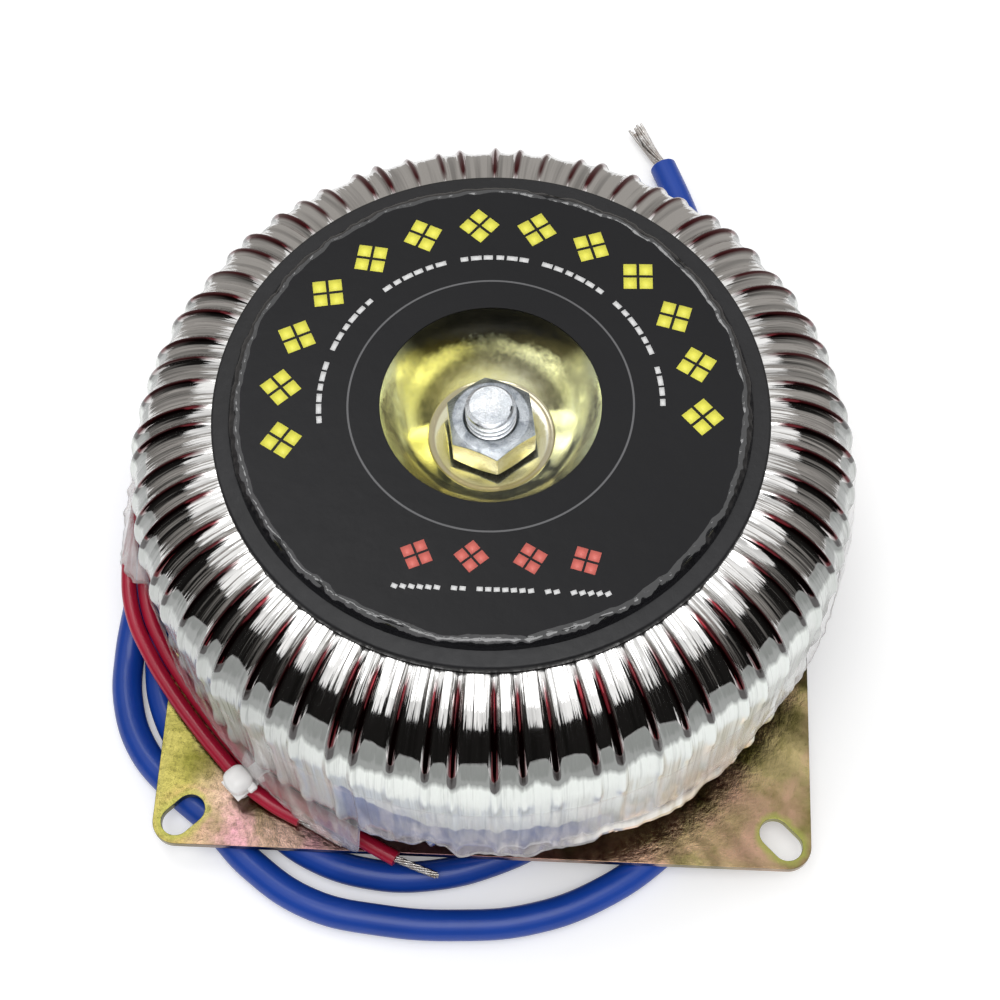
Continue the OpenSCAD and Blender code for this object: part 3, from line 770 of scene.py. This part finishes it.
class TOROID_OT_leads(bpy.types.Operator):
    """Lays the two blue and two red leads, with their tinned ends and the tie"""
    bl_idname = "toroid.leads"
    bl_label = "Leads"

    def execute(self, context):
        leads = context.scene.toroid_leads
        blue = grained("blue_insulation", leads.blue_colour, 0.33, 500.0, 0.05, 0.12, 0.0002, specular=0.35,
                       coat=0.12, coat_roughness=0.12, shade=0.1)
        red = grained("red_insulation", leads.red_colour, 0.3, 700.0, 0.05, 0.12, 0.0002, specular=0.4,
                      coat=0.2, coat_roughness=0.12, shade=0.1)
        tinned = plated("tinned_strands", (leads.strand_colour, (0.32, 0.26, 0.22), (0.9, 0.9, 0.9)), 700.0,
                        (0.7, 0.3), 0.22, 0.3)
        nylon = grained("white_nylon", (0.86, 0.85, 0.84), 0.32, 900.0, 0.05, 0.1, 0.0001,
                        coat=0.2, shade=0.03)

        thick, thin = (leads.blue_diameter, blue), (leads.red_diameter, red)
        blue_outer = lead_curve("blue_lead_loop", BLUE_OUTER_ROUTE, *thick, "blue_lead_outer")
        blue_inner = lead_curve("blue_lead_short", BLUE_INNER_ROUTE, *thick, "blue_lead_inner")
        red_outer = lead_curve("red_lead_short", RED_OUTER_ROUTE, *thin, "red_lead_outer")
        red_inner = lead_curve("red_lead_long", RED_INNER_ROUTE, *thin, "red_lead_inner")

        rear_tip = strand_bundle("blue_rear_strands", BLUE_REAR_TIP, 12, 0.5 * MM, tinned, "blue_tip_rear",
                                 0.85 * MM, 2.2, flatten=0.7, part=0.75 * MM)
        inner_tip = strand_bundle("blue_inner_strands", BLUE_INNER_TIP, 10, 0.7 * MM, tinned,
                                  "blue_tip_inner", 1.0 * MM, 1.6)
        outer_red_tip = strand_bundle("red_outer_strands", RED_OUTER_TIP, 7, 0.42 * MM, tinned,
                                      "red_tip_outer", 0.42 * MM, 5.0)
        inner_red_tip = strand_bundle("red_inner_strands", RED_INNER_TIP, 7, 0.42 * MM, tinned,
                                      "red_tip_inner", 0.42 * MM, 5.0)

        strap = merged_copy("cable_tie")
        cut_above(strap, 11.5 * MM)
        tie = mesh_object("nylon_tie", strap, nylon)
        soften(tie, 0.4 * MM, 3)
        tie_head = mesh_object("nylon_tie_head", self.tie_head(), nylon, 60)
        for piece in (tie, tie_head):
            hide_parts("cable_tie")

        return {"FINISHED"}

    @staticmethod
    def tie_head():
        """The tie's head: a rounded block with a stub of its tail, on top of the two red leads."""
        bm = bmesh.new()
        bmesh.ops.create_cube(bm, size=1, matrix=Matrix.Diagonal((4.7 * MM, 4.5 * MM, 3.9 * MM, 1)))
        round_edges(bm, bm.verts[:] + bm.edges[:], 1.75 * MM, 7)
        tail = Matrix.Diagonal((1.7 * MM, 1.6 * MM, 1.1 * MM, 1))
        tail.translation = (2.4 * MM, 0.9 * MM, -0.2 * MM)
        stub = bmesh.ops.create_cube(bm, size=1, matrix=tail)
        round_edges(bm, list({e for v in stub["verts"] for e in v.link_edges}), 0.4 * MM, 3)
        turned = Matrix.Translation((-0.0404, -0.0455, 0.0129)) @ Matrix.Rotation(math.radians(-45), 4, "Z")
        bmesh.ops.transform(bm, matrix=turned, verts=bm.verts[:])
        for vert in bm.verts:
            vert.co += 0.12 * MM * noise.noise_vector(vert.co * 420)
        return bm


class TOROID_OT_core_and_windings(bpy.types.Operator):
    """Finishes the core, its tape, the two windings and the paper band, which stay inside the film"""
    bl_idname = "toroid.core_and_windings"
    bl_label = "Core and windings"

    def execute(self, context):
        ring = context.scene.toroid_ring
        finishes = {
            "core": wound("core_strip", (0.30, 0.31, 0.33), (0.12, 0.12, 0.13), 2.0, 9000.0,
                          1.0, 0.35, 0.3, 0.0001),
            "core_insulation": wound("core_tape", (0.80, 0.72, 0.42), (0.55, 0.47, 0.22), 9.0, 120.0,
                                     0.0, 0.4, 0.3, 0.0003),
            "primary_winding": wound("fine_wire", (0.60, 0.28, 0.13), (0.22, 0.08, 0.04), 220.0, 8.0,
                                     0.8, 0.3, 0.5, 0.0004),
            "interwinding_insulation": wound("winding_tape", (0.84, 0.78, 0.52), (0.62, 0.54, 0.28), 12.0,
                                             100.0, 0.0, 0.4, 0.3, 0.0003),
            "secondary_winding": wound("thick_wire", [3 * c for c in ring.wire_colour],
                                       [0.4 * c for c in ring.wire_colour], 110.0, 3.0,
                                       0.8, 0.28, 0.6, 0.0008),
            "side_label": wound("paper_band", ring.paper_colour, (0.70, 0.72, 0.71), 40.0, 60.0,
                                0.0, 0.6, 0.1, 0.0002),
        }
        for node, finish in finishes.items():
            NODES[node].data.materials.clear()
            NODES[node].data.materials.append(finish)
        return {"FINISHED"}


class TOROID_OT_film_wrap(bpy.types.Operator):
    """Stretches the film over the turns, with a ridge over each"""
    bl_idname = "toroid.film_wrap"
    bl_label = "Film wrap"

    def execute(self, context):
        ring = context.scene.toroid_ring
        low, high, hole, rim = ring.film_low, ring.film_high, ring.hole_radius, ring.film_radius
        bm = section([(hole, low), (rim, low), (rim, high), (hole, high)])
        round_corner(bm, rim, high, ring.top_edge, 18)
        round_corner(bm, rim, low, ring.bottom_edge, 10)
        round_corner(bm, hole, low, ring.hole_edge, 4)
        round_corner(bm, hole, high, ring.hole_edge, 4)
        side = [e for e in bm.edges if all(abs(v.co.x - rim) < 1e-6 for v in e.verts)]
        bmesh.ops.subdivide_edges(bm, edges=side, cuts=9)
        revolve(bm, ring.columns)
        self.raise_ridges(bm, ring)
        film = film_material(ring.film_colour, ring.wire_colour, ring.paper_colour)
        piece = mesh_object("stretched_film", bm, film, 180)
        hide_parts("film_wrap")
        return {"FINISHED"}

    @staticmethod
    def raise_ridges(bm, ring):
        """Moves the film outwards over each turn and leaves fine wrinkles across it."""
        crown = bm.verts.layers.float.new("crown")
        crowns = [(turn_angle(k, ring.turns), turn_rise(k)) for k in range(ring.turns)]
        pitch = 360 / ring.turns
        top_centre = Vector((ring.film_radius - ring.top_edge, ring.film_high - ring.top_edge))
        low_centre = Vector((ring.film_radius - ring.bottom_edge, ring.film_low + ring.bottom_edge))
        for vert in bm.verts:
            way, reach = polar(vert.co)
            spot = Vector((reach, vert.co.z))
            if reach < low_centre.x - 1e-6 and reach < top_centre.x - 1e-6:
                continue
            if vert.co.z > top_centre.y:
                out = (spot - top_centre).normalized()
                share = smoothstep(87, 66, math.degrees(math.atan2(out.y, out.x)))
            elif vert.co.z < low_centre.y:
                out = (spot - low_centre).normalized()
                share = smoothstep(-90, -35, math.degrees(math.atan2(out.y, out.x)))
            else:
                out, share = Vector((1, 0)), 1
            paper = smoothstep(0.0415, 0.039, vert.co.z) * smoothstep(0.024, 0.027, vert.co.z)
            angle = math.degrees(way) % 360
            rise = 0
            for k in range(int(angle // pitch) - 1, int(angle // pitch) + 3):
                centre, height = crowns[k % ring.turns]
                off = (angle - centre + 180) % 360 - 180
                shape = 0.88 * math.exp(-(off / 0.72) ** 2) + 0.12 * max(0, 1 - abs(off) / (pitch * 0.55))
                rise = max(rise, height * shape)
            vert[crown] = rise * share * (1 - 0.8 * paper)
            along = (vert.co.z - reach) * 26
            wrinkle = ring_noise(way, 26, along) + 0.6 * ring_noise(way, 64, along * 1.7) - 0.5
            ridge = ring.ridge_height * rise * (1 - 0.55 * paper)
            spot += out * share * (ridge + ring.wrinkle_height * wrinkle)
            vert.co = on_circle(way, spot.x, spot.y)


class TOROID_OT_loose_film(bpy.types.Operator):
    """Hangs the loose hem of the outermost film round the side of the ring"""
    bl_idname = "toroid.loose_film"
    bl_label = "Loose film"

    def execute(self, context):
        ring = context.scene.toroid_ring
        top, low, start = 41 * MM, 19.2 * MM, 58.83 * MM
        bm = outline([(start, top), (start, low)])
        bmesh.ops.subdivide_edges(bm, edges=bm.edges[:], cuts=15)
        turn(bm, 1440)
        bmesh.ops.recalc_face_normals(bm, faces=bm.faces[:])
        mark = bm.verts.layers.float.new("hem")
        for vert in bm.verts:
            down = min(max((top - vert.co.z) / (top - low), 0), 1)
            way, _ = polar(vert.co)
            edge_height, edge_reach = hem(math.degrees(way) % 360)
            fold = ring_noise(way, 16, down * 1.6)
            ruffle = ring_noise(way, 45, down * 2.5 + 7)
            away = (edge_reach - start) * down ** 1.6
            reach = start + away - 0.3 * MM * abs(fold) + (0.25 + 60 * away) * MM * ruffle * down ** 2
            vert.co = on_circle(way, reach, top + (edge_height + 0.25 * MM * ruffle - top) * down)
            vert[mark] = down
        outward = bm.faces[0].calc_center_median()
        if bm.faces[0].normal.dot(Vector((outward.x, outward.y, 0))) < 0:
            bmesh.ops.reverse_faces(bm, faces=bm.faces[:])
        piece = mesh_object("loose_film", bm, loose_film_material(ring.hem_colour), 180)
        thicken(piece, 0.08 * MM, 0)
        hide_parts("film_skirt")
        return {"FINISHED"}


class TOROID_OT_pads(bpy.types.Operator):
    """Makes the rubber pads above and below the ring"""
    bl_idname = "toroid.pads"
    bl_label = "Rubber pads"

    def execute(self, context):
        rubber = grained("pad_rubber", context.scene.toroid_clamp.rubber_colour, 0.5, 600.0, 0.12, 0.3, 0.0003,
                         specular=0.4, shade=0.2)
        for name, node, low, high, inner in (
                ("upper_pad", "top_pad", PAD_LOW, PAD_HIGH, 19.7 * MM),
                ("lower_pad", "bottom_pad", FLOOR_PAD_LOW, FLOOR_PAD_HIGH, 10 * MM)):
            corners = [(inner, low.z), (high.x, low.z), (high.x, high.z), (inner, high.z)]
            bm = section(corners)
            for x, z in corners:
                round_corner(bm, x, z, 0.45 * MM, 3)
            piece = mesh_object(name, revolve(bm, 192), rubber)
            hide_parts(node)
        return {"FINISHED"}


class TOROID_OT_clamp_dish(bpy.types.Operator):
    """Spins the dished clamping plate with its well for the nut"""
    bl_idname = "toroid.clamp_dish"
    bl_label = "Clamping plate"

    def execute(self, context):
        clamp = context.scene.toroid_clamp
        sheet, well_radius, seat_radius = 1.2 * MM, 17 * MM, 9.7 * MM
        top, seat, bolt_hole = DISH_HIGH.z, DISH_LOW.z + sheet, 4.25 * MM
        steps, bend = 32, Vector((13.5 * MM, seat + 2.8 * MM))
        wall = [(DISH_HIGH.x, top), (well_radius + 0.5 * MM, top)]
        for share in (i / steps for i in range(steps + 1)):
            weights = ((1 - share) ** 2, 2 * 1.8 * share * (1 - share), share ** 2)
            ends = weights[0] * Vector((well_radius, top)) + weights[2] * Vector((seat_radius, seat))
            wall.append((ends + weights[1] * bend) / sum(weights))
        wall += [(seat_radius - 0.35 * MM, seat + 0.12 * MM), (seat_radius - 0.7 * MM, seat),
                 (bolt_hole, seat)]
        bm = turn(outline(wall), 240)
        if sum(f.normal.z * f.calc_area() for f in bm.faces) < 0:
            bmesh.ops.reverse_faces(bm, faces=bm.faces[:])
        piece = mesh_object("dished_plate", bm, dish_material(clamp.dish_colour), 60)
        thicken(piece, sheet, -1)
        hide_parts("clamp_dish")
        return {"FINISHED"}


class TOROID_OT_round_label(bpy.types.Operator):
    """Lays the black label with its plain ornaments and turns its edge down over the plate"""
    bl_idname = "toroid.round_label"
    bl_label = "Round label"

    def execute(self, context):
        clamp = context.scene.toroid_clamp
        black = grained("label_film", clamp.label_colour, 0.34, 240.0, 0.06, 0.15, 0.0004,
                        specular=0.2, shade=0.1)
        low, high, outer = LABEL_LOW.z, LABEL_HIGH.z, LABEL_HIGH.x
        bm = section([(17 * MM, low), (outer, low), (outer, high), (17 * MM, high)])
        piece = mesh_object("label_disc", revolve(bm, 240), black)
        soften(piece, 0.08 * MM, 2)
        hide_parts("top_label")
        self.turned_edge(clamp, outer)
        self.marks(clamp, high)
        return {"FINISHED"}

    @staticmethod
    def turned_edge(clamp, outer):
        """The label's edge, wrinkled where it is stuck down over the plate's rim."""
        shiny = grained("label_edge", clamp.label_colour, 0.12, 300.0, 0.04, 0.3, 0.0004, specular=0.7,
                        coat=0.8, coat_roughness=0.05, shade=0.1)
        rounded = [(outer + 0.75 * MM, 62.3 * MM), (outer - 0.2 * MM, 62.85 * MM)]
        bm = section([(outer - 1.3 * MM, 62.5 * MM), (outer - 0.7 * MM, 61.25 * MM),
                      (outer + 1.1 * MM, 61.25 * MM), *rounded])
        for x, z in rounded:
            round_corner(bm, x, z, 0.35 * MM, 3)
        revolve(bm, 900)
        for vert in bm.verts:
            way, reach = polar(vert.co)
            if vert.co.z > 61.4 * MM:
                crease = ring_noise(way, 11, vert.co.z * 500)
                kink = ring_noise(way, 42, reach * 900)
                lift = (0.08 * kink - 0.14 * abs(crease)) * MM
                vert.co = on_circle(way, reach + (0.45 * crease + 0.12 * kink) * MM, vert.co.z + lift)
        piece = mesh_object("label_turned_edge", bm, shiny, 60)

    @staticmethod
    def ornament(bm, radius, angle, size, height):
        """Four small diamonds in a diamond."""
        way = math.radians(angle)
        place = Matrix.Translation(on_circle(way, radius, height)) @ Matrix.Rotation(way, 4, "Z")
        for dx, dy in ((1, 0), (-1, 0), (0, 1), (0, -1)):
            spot = place @ Matrix.Translation((dx * size * 0.27, dy * size * 0.27, 0))
            bmesh.ops.create_circle(bm, cap_ends=True, segments=4, radius=size * 0.22, matrix=spot)

    @staticmethod
    def dash(bm, radius, angle, span, width, height):
        """A short bar along an arc."""
        way = math.radians(angle)
        place = Matrix.Translation(on_circle(way, radius, height)) @ Matrix.Rotation(way, 4, "Z")
        bar = place @ Matrix.Diagonal((width, span, 1, 1))
        bmesh.ops.create_grid(bm, x_segments=1, y_segments=1, size=0.5, matrix=bar)

    def marks(self, clamp, high):
        """The label's ornaments, dashes and ring line."""
        level = high + 0.015 * MM
        upper, lower, dashes = bmesh.new(), bmesh.new(), bmesh.new()
        for k in range(13):
            self.ornament(upper, 32.4 * MM, 194 - k * 16.35, 6.6 * MM, level)
        for x in (-9.7, -1.6, 7.1, 15.3):
            way, reach = polar(Vector((x, -26)))
            self.ornament(lower, reach * MM, math.degrees(way), 5.4 * MM, level)
        for k in range(46):
            if k % 7 != 6:
                span = 1.2 + 0.25 * ((k * 5) % 3)
                self.dash(dashes, 26.3 * MM, 189 - k * 4.15, span * MM, 0.8 * MM, level)
        for k in range(26):
            if k % 11 not in (6, 9):
                way, reach = polar(Vector((-12.6 + k * 1.25, -31.2)))
                self.dash(dashes, reach * MM, math.degrees(way), 0.9 * MM, 0.7 * MM, level)
        for name, bm, tint in (("upper_ornaments", upper, clamp.mark_colour),
                               ("lower_ornaments", lower, clamp.lower_mark_colour),
                               ("fine_dashes", dashes, clamp.dash_colour)):
            if bm.faces[:] and sum(f.normal.z for f in bm.faces) < 0:
                bmesh.ops.reverse_faces(bm, faces=bm.faces[:])
            ink = grained(name + "_ink", tint, 0.4, 400.0, 0.05, 0.05, 0.0001, shade=0.04)
            piece = mesh_object(name, bm, ink)
            thicken(piece, 0.02 * MM, 0)
        inner, outer, under, over = 21.75 * MM, 22.05 * MM, level - 0.01 * MM, level + 0.01 * MM
        line = section([(inner, under), (outer, under), (outer, over), (inner, over)])
        ink = grained("ring_line_ink", (0.12, 0.12, 0.125), 0.4, 400.0, 0.05, 0.05, 0.0001)
        piece = mesh_object("label_ring_line", revolve(line, 180), ink)


class TOROID_OT_base_plate(bpy.types.Operator):
    """Finishes the slotted base plate"""
    bl_idname = "toroid.base_plate"
    bl_label = "Base plate"

    def execute(self, context):
        clamp = context.scene.toroid_clamp
        finish = plate_material(clamp.zinc_colour, clamp.olive_colour, clamp.rose_colour)
        piece = mesh_object("slotted_plate", merged_copy("base_plate"), finish)
        soften(piece, 0.3 * MM, 3)
        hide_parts("base_plate")
        return {"FINISHED"}


class TOROID_OT_bolt_and_nut(bpy.types.Operator):
    """Makes the threaded centre bolt and its nut"""
    bl_idname = "toroid.bolt_and_nut"
    bl_label = "Bolt and nut"

    def execute(self, context):
        clamp = context.scene.toroid_clamp
        finish = plated("bright_plating", (clamp.bright_colour, (0.34, 0.37, 0.42), (0.92, 0.93, 0.94)), 260.0,
                        (0.6, 0.5), 0.24, 0.25)
        head = merged_copy("centre_bolt")
        cut_above(head, 9 * MM)
        head_piece = mesh_object("bolt_head", head, finish)
        soften(head_piece, 0.15 * MM, 2)
        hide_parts("centre_bolt")
        shank = mesh_object("bolt_thread", self.threaded_shank(), finish, 25)
        dull = plated("nut_plating", ((0.36, 0.39, 0.42), (0.16, 0.18, 0.21), (0.62, 0.65, 0.68)), 420.0,
                      (0.7, 0.6), 0.3, 0.35)
        # Painted reflection: the nut's upright faces get the dish's gold, the top stays dull grey
        painted_dish_reflection = plated("nut_sides", ((0.86, 0.80, 0.45), (0.55, 0.50, 0.24), (0.92, 0.88, 0.74)), 160.0,
                      (0.5, 0.5), 0.16, 0.15)
        nut = mesh_object("hexagon_nut", self.turned_nut(), dull, 20)
        nut.data.materials.append(painted_dish_reflection)
        for polygon in nut.data.polygons:
            polygon.material_index = 1 if abs(polygon.normal.z) < 0.4 else 0
        soften(nut, 0.1 * MM, 2, 20)
        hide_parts("top_nut")
        return {"FINISHED"}

    @staticmethod
    def turned_nut():
        """A hexagon turned off at both ends, with one corner a little left of the front."""
        low, high, bore, flat = NUT_LOW.z, NUT_HIGH.z, 4 * MM, 6.5 * MM
        face, corner, hole = 5.95 * MM, flat / math.cos(math.radians(30)), 0.35 * MM
        bm = section([(bore, low + hole), (bore + hole, low), (face, low), (corner, low + 0.5 * MM),
                      (corner, high - 0.5 * MM), (face, high), (bore + hole, high), (bore, high - hole)])
        revolve(bm, 360)
        for vert in bm.verts:
            way, reach = polar(vert.co)
            if reach > face + 0.1 * MM:
                off = (math.degrees(way) + 80 + 30) % 60 - 30
                wide = flat / math.cos(math.radians(30 - abs(off)))
                fall = (wide - face) * math.tan(math.radians(31))
                vert.co = on_circle(way, wide, high - fall if vert.co.z > (low + high) / 2 else low + fall)
        return bm

    @staticmethod
    def threaded_shank():
        """A plain core with the thread's tooth wound up it, chamfered at the end."""
        top, pitch, crest, root = BOLT_HIGH.z + 1.5 * MM, 1.25 * MM, 3.95 * MM, 3.2 * MM
        start, end = 48 * MM, 3.3 * MM
        bm = turn(outline([(0.3 * MM, 8.9 * MM), (crest, 8.9 * MM), (crest, start), (root, start),
                           (root, top - 0.9 * MM), (end, top - 0.5 * MM), (end, top), (0.3 * MM, top)]), 90)
        close_holes(bm)
        turns, per_turn = 11, 60
        profile = ((root - 0.1 * MM, -0.36), (crest, -0.1), (crest, 0.1), (root - 0.1 * MM, 0.36))
        tooth = [bm.verts.new((x, 0, start + pitch * share)) for x, share in profile]
        edges = [bm.edges.new((a, b)) for a, b in zip(tooth, tooth[1:] + tooth[:1])]
        swept = bmesh.ops.spin(bm, geom=tooth + edges, cent=(0, 0, 0), axis=(0, 0, 1),
                               dvec=(0, 0, pitch / per_turn), angle=2 * math.pi * turns, steps=turns * per_turn)
        for rim in (edges, [e for e in swept["geom_last"] if isinstance(e, bmesh.types.BMEdge)]):
            bmesh.ops.contextual_create(bm, geom=rim)
        for vert in bm.verts:
            way, reach = polar(vert.co)
            vert.co.z = min(vert.co.z, top)
            limit = max(end, min(crest, end + (top - vert.co.z) * 1.3))
            if reach > limit:
                vert.co = on_circle(way, limit, vert.co.z)
        bmesh.ops.recalc_face_normals(bm, faces=bm.faces[:])
        return bm


class TOROID_OT_stage(bpy.types.Operator):
    """Sets up the pale floor, the soft light and the cards that the bright film mirrors"""
    bl_idname = "toroid.stage"
    bl_label = "Stage"

    def execute(self, context):
        settings = context.scene.toroid_stage
        scene = context.scene
        scene.view_settings.view_transform = "Standard"
        self.floor(settings)
        self.world(settings)
        self.lamp("key_lamp", (0.0, -0.3, 1.05), 0.7, settings.key_power * 0.75)
        self.lamp("rear_lamp", (-0.25, 0.32, 1.1), 0.36, settings.key_power * 0.2)
        self.cards()
        return {"FINISHED"}

    @staticmethod
    def floor(settings):
        bm = bmesh.new()
        bmesh.ops.create_grid(bm, x_segments=2, y_segments=2, size=3.0)
        mesh = bpy.data.meshes.new("floor")
        bm.to_mesh(mesh)
        bm.free()
        finish = Finish("pale_floor")
        finish.wear({"Base Color": settings.floor_colour, "Roughness": 0.7, "Specular IOR Level": 0.2})
        glow = finish.glow((1, 1, 1), finish.rays("Is Camera Ray") * 0.2)
        both = finish.add("ShaderNodeAddShader", {0: finish.shader.outputs[0], 1: glow})
        mesh.materials.append(finish.show(both.outputs[0]))
        link("floor", mesh)

    @staticmethod
    def world(settings):
        """White where it is seen or mirrored, and weaker where it lights."""
        world = bpy.data.worlds.new("studio")
        bpy.context.scene.world = world
        world.use_nodes = True
        tree = Tree(world.node_tree)
        mirrored = tree.rays("Is Glossy Ray").at_least(tree.rays("Is Transmission Ray"))
        seen = tree.rays("Is Camera Ray").at_least(mirrored)
        background = tree.tree.nodes["Background"]
        tree.feed(background.inputs["Strength"], seen.spread(0.0, 1.0, settings.fill, 1.0))
        tree.feed(background.inputs["Color"], (1, 1, 1))

    @staticmethod
    def lamp(name, place, size, power):
        data = bpy.data.lights.new(name, "AREA")
        data.shape = "DISK"
        data.size = size
        data.energy = power
        lamp = link(name, data)
        lamp.location = place
        lamp.rotation_euler = (-Vector(place)).to_track_quat("-Z", "Y").to_euler()

    @staticmethod
    def cards():
        """Dark card on and round the floor, seen only in reflections: black in front, grey behind."""
        bm = turn(outline([(0.17, 0.004), (1.2, 0.004), (1.2, 0.92)]), 60)
        for vert in bm.verts:
            way, reach = polar(vert.co)
            if reach < 0.5:
                inwards = 0.24 * smoothstep(-0.1, 0.6, vert.co.y / reach)
                vert.co = on_circle(way, reach * (1 - inwards), vert.co.z)
        mesh = bpy.data.meshes.new("dark_cards")
        bm.to_mesh(mesh)
        bm.free()
        finish = Finish("dark_cards")
        x, y, _ = finish.place()
        grey = (y / (x * x + y * y).root()).spread(-0.3, 0.6, 0.01, 0.36)
        mesh.materials.append(finish.show(finish.glow((1.0, 0.95, 0.90), grey)))
        cards = link("dark_cards", mesh)
        cards.visible_camera = cards.visible_diffuse = cards.visible_shadow = False
        cards.visible_transmission = cards.visible_volume_scatter = False


SETTINGS = {"toroid_leads": TOROID_PG_leads, "toroid_ring": TOROID_PG_ring, "toroid_clamp": TOROID_PG_clamp,
            "toroid_stage": TOROID_PG_stage}
OPERATORS = (
    TOROID_OT_camera, TOROID_OT_leads, TOROID_OT_core_and_windings, TOROID_OT_film_wrap, TOROID_OT_loose_film,
    TOROID_OT_pads, TOROID_OT_clamp_dish, TOROID_OT_round_label, TOROID_OT_base_plate, TOROID_OT_bolt_and_nut,
    TOROID_OT_stage)


class TOROID_PT_panel(bpy.types.Panel):
    """The transformer's settings and the pieces that it is built from"""
    bl_idname = "TOROID_PT_panel"
    bl_label = "Toroidal Transformer"
    bl_space_type = "VIEW_3D"
    bl_region_type = "UI"
    bl_category = "Transformer"

    def draw(self, context):
        for holder, group in SETTINGS.items():
            box = self.layout.box()
            for name in group.__annotations__:
                box.prop(getattr(context.scene, holder), name)
        for operator in OPERATORS:
            self.layout.operator(operator.bl_idname)


def register():
    for group in SETTINGS.values():
        bpy.utils.register_class(group)
    for holder, group in SETTINGS.items():
        setattr(bpy.types.Scene, holder, bpy.props.PointerProperty(type=group))
    for operator in OPERATORS:
        bpy.utils.register_class(operator)
    bpy.utils.register_class(TOROID_PT_panel)


def unregister():
    bpy.utils.unregister_class(TOROID_PT_panel)
    for operator in reversed(OPERATORS):
        bpy.utils.unregister_class(operator)
    for holder, group in SETTINGS.items():
        delattr(bpy.types.Scene, holder)
        bpy.utils.unregister_class(group)


def main():
    register()
    bpy.ops.toroid.camera()
    bpy.ops.toroid.leads()
    bpy.ops.toroid.core_and_windings()
    bpy.ops.toroid.film_wrap()
    bpy.ops.toroid.loose_film()
    bpy.ops.toroid.pads()
    bpy.ops.toroid.clamp_dish()
    bpy.ops.toroid.round_label()
    bpy.ops.toroid.base_plate()
    bpy.ops.toroid.bolt_and_nut()
    bpy.ops.toroid.stage()


if __name__ == "__main__":
    main()
